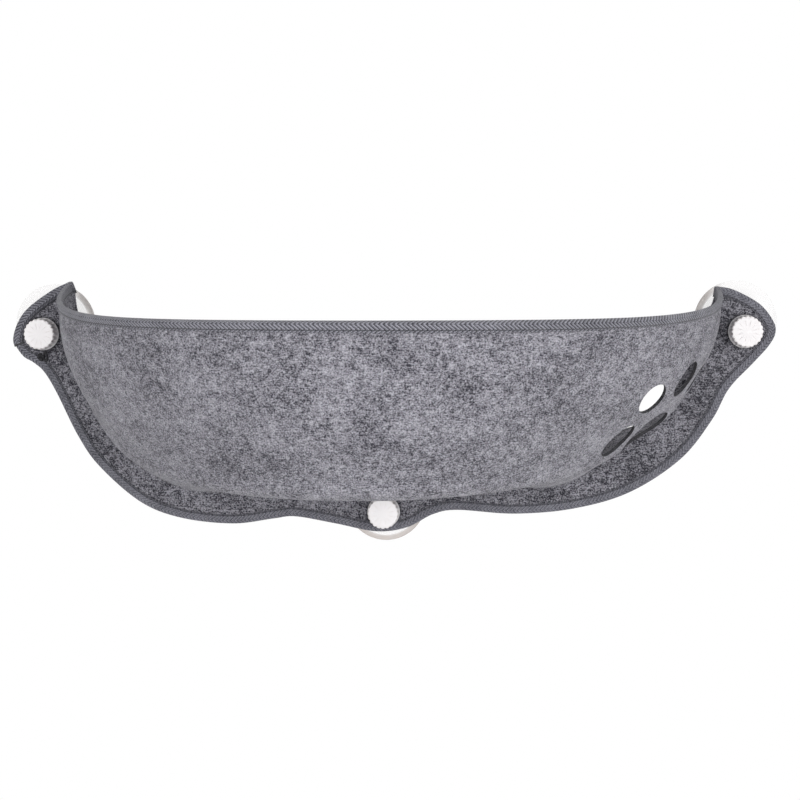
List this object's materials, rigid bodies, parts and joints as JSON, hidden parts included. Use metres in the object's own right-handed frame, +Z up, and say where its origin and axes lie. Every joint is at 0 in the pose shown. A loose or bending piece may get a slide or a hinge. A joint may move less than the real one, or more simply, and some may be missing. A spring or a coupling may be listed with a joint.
{
  "type": "cat window bed",
  "caption": "Felt hammock bed for a cat, bound with woven tape, held on a window pane by suction cups with thumb nuts.",
  "frame": {"origin": "on the window glass, midway between the studs of the two upper suction cups", "axes": "+X to the right along the glass seen from the room, +Y through the glass away from the room, +Z up; the bed stands out toward -Y"},
  "size_m": [0.6956, 0.2809, 0.2386],
  "materials": {
    "grey_felt": "melange grey needled felt, matt",
    "grey_woven_tape": "herringbone tape, matt",
    "clear_vinyl": "soft clear vinyl, glossy",
    "white_plastic": "white moulded plastic, semi-gloss"
  },
  "bodies": {
    "bed": {"felt_body": "grey_felt", "edge_binding": "grey_woven_tape", "suction_cup_left": "clear_vinyl", "suction_cup_right": "clear_vinyl", "suction_cup_lower": "clear_vinyl", "stud_left": "white_plastic", "stud_right": "white_plastic", "stud_lower": "white_plastic"},
    "washer_left": {"clamp_washer_left": "white_plastic"},
    "washer_right": {"clamp_washer_right": "white_plastic"},
    "washer_lower": {"clamp_washer_lower": "white_plastic"},
    "nut_left": {"knob_left": "white_plastic"},
    "nut_right": {"knob_right": "white_plastic"},
    "nut_lower": {"knob_lower": "white_plastic"}
  },
  "joints": [
    {"name": "washer_left_slide", "type": "slide", "parent": "bed", "child": "washer_left", "axis": [0, -1, 0], "range_m": [0, 0.0075]},
    {"name": "nut_left_turn", "type": "hinge", "parent": "washer_left", "child": "nut_left", "pos_m": [-0.3137, 0, -0.0014], "axis": [0, -1, 0], "range_deg": [0, 1080]},
    {"name": "washer_right_slide", "type": "slide", "parent": "bed", "child": "washer_right", "axis": [0, -1, 0], "range_m": [0, 0.0075]},
    {"name": "nut_right_turn", "type": "hinge", "parent": "washer_right", "child": "nut_right", "pos_m": [0.3137, 0, 0.0014], "axis": [0, -1, 0], "range_deg": [0, 1080]},
    {"name": "washer_lower_slide", "type": "slide", "parent": "bed", "child": "washer_lower", "axis": [0, -1, 0], "range_m": [0, 0.0075]},
    {"name": "nut_lower_turn", "type": "hinge", "parent": "washer_lower", "child": "nut_lower", "pos_m": [-0.005, 0, -0.1608], "axis": [0, -1, 0], "range_deg": [0, 1080]}
  ],
  "couplings": [
    {"joint": "nut_left_turn", "follows": "washer_left_slide", "rad_per_m": 2513.3},
    {"joint": "nut_right_turn", "follows": "washer_right_slide", "rad_per_m": 2513.3},
    {"joint": "nut_lower_turn", "follows": "washer_lower_slide", "rad_per_m": 2513.3}
  ]
}
